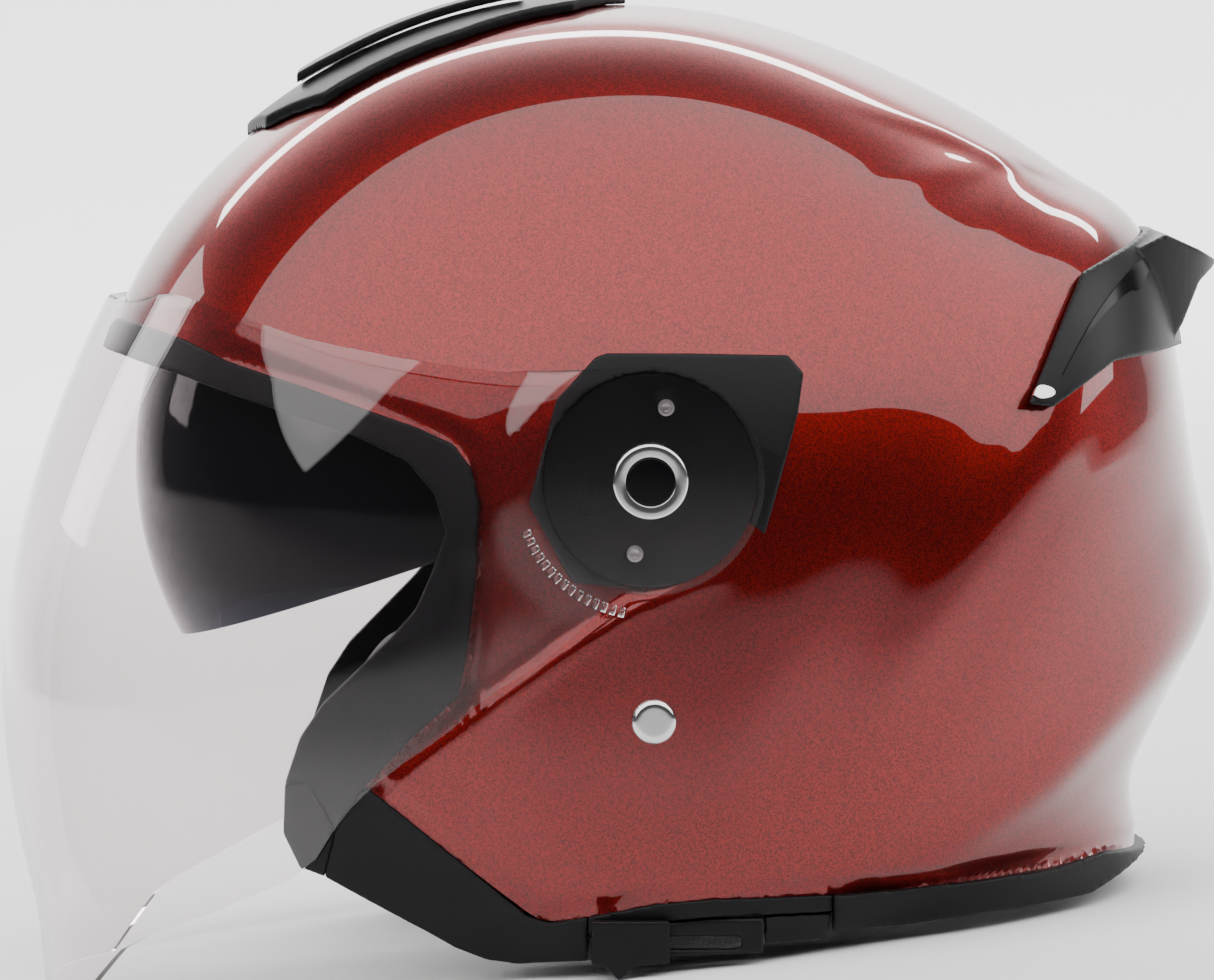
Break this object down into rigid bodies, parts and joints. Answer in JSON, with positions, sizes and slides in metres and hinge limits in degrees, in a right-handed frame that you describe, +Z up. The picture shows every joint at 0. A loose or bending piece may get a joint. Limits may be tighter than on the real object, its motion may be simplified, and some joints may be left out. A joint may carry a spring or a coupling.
{
  "type": "open-face motorcycle helmet",
  "caption": "Open-face motorcycle helmet with a long clear flip-up shield, drop-down smoked sun visor, crown vent slider, rear spoiler and a buckled chin strap.",
  "frame": {"origin": "middle of the footprint, on the surface the helmet stands on", "axes": "+Z up, -Y the way the wearer faces, +X the wearer's left; it stands on the shield's lip and the rear rim, tipped back 5.3 degrees from how it is worn"},
  "size_m": [0.25, 0.3373, 0.2549],
  "materials": {
    "black_gloss": "polished moulded plastic",
    "black_rubber": "soft black rubber",
    "bright_steel": "polished steel",
    "candy_red": "candy red over metallic base, clear coat",
    "clear_shield": "clear polycarbonate, hard coated",
    "eps_foam": "bead foam, black",
    "grained_black": "fine grained trim plastic",
    "liner_fabric": "brushed knit over foam",
    "satin_black": "satin moulded plastic",
    "smoke_visor": "dark smoke tint",
    "webbing": "woven polyester webbing",
    "zinc_steel": "zinc plated steel"
  },
  "bodies": {
    "helmet": {"outer_shell": "candy_red", "eps_liner": "eps_foam", "eps_brow_liner": "eps_foam", "crown_liner": "liner_fabric", "cheek_pad_left": "liner_fabric", "cheek_pad_right": "liner_fabric", "neck_roll": "liner_fabric", "eye_port_gasket": "black_rubber", "chin_corner_cap_left": "black_rubber", "chin_corner_cap_right": "black_rubber", "jaw_trim_left": "grained_black", "jaw_trim_right": "grained_black", "rim_strip_left": "black_rubber", "rim_strip_right": "black_rubber", "rear_rim_roll": "black_rubber", "slider_track": "satin_black", "slider_end_block": "satin_black", "sun_visor_bracket_left": "satin_black", "sun_visor_bracket_right": "satin_black", "side_panel_left": "satin_black", "side_panel_right": "satin_black", "shield_hub_left": "black_gloss", "shield_hub_right": "black_gloss", "hub_ring_left": "bright_steel", "hub_ring_right": "bright_steel", "button_spring_left": "zinc_steel", "button_spring_right": "zinc_steel", "hub_screws_left": "zinc_steel", "hub_screws_right": "zinc_steel", "strap_anchor_left": "zinc_steel", "strap_anchor_right": "zinc_steel", "strap_rivet_left": "bright_steel", "strap_rivet_right": "bright_steel", "chin_strap_left": "webbing", "chin_strap_right": "webbing", "strap_tongue": "satin_black", "buckle_body": "satin_black", "top_vent_cover": "satin_black", "rear_spoiler": "satin_black"},
    "shield": {"face_shield": "clear_shield"},
    "sun_visor": {"sun_visor": "smoke_visor"},
    "visor_slider": {"slider_knob": "satin_black"},
    "button_left": {"push_button_left": "black_gloss"},
    "button_right": {"push_button_right": "black_gloss"},
    "vent_slider": {"top_vent_slider": "satin_black"},
    "buckle_lever": {"buckle_lever": "satin_black"}
  },
  "joints": [
    {"name": "shield_hinge", "type": "hinge", "parent": "helmet", "child": "shield", "pos_m": [0, 0.01103, 0.12671], "axis": [-1, 0, 0], "range_deg": [0, 55]},
    {"name": "sun_visor_hinge", "type": "hinge", "parent": "helmet", "child": "sun_visor", "pos_m": [0, -0.01497, 0.11707], "axis": [-1, 0, 0], "range_deg": [0, 44]},
    {"name": "visor_slider_slide", "type": "slide", "parent": "helmet", "child": "visor_slider", "axis": [0, 0.9957, -0.0924], "range_m": [0, 0.022]},
    {"name": "button_left_press", "type": "slide", "parent": "helmet", "child": "button_left", "axis": [-1, 0, 0], "range_m": [0, 0.0025], "stiffness_N_per_m": 400, "springref_m": -0.002},
    {"name": "button_right_press", "type": "slide", "parent": "helmet", "child": "button_right", "axis": [1, 0, 0], "range_m": [0, 0.0025], "stiffness_N_per_m": 400, "springref_m": -0.002},
    {"name": "vent_slide", "type": "slide", "parent": "helmet", "child": "vent_slider", "axis": [0, 0.9613, 0.2755], "range_m": [0, 0.005]},
    {"name": "buckle_lever_hinge", "type": "hinge", "parent": "helmet", "child": "buckle_lever", "pos_m": [-0.015, 0.00146, 0.01271], "axis": [0, 0.9957, -0.0924], "range_deg": [0, 35]}
  ],
  "couplings": [
    {"joint": "visor_slider_slide", "follows": "sun_visor_hinge", "m_per_rad": 0.02864}
  ]
}
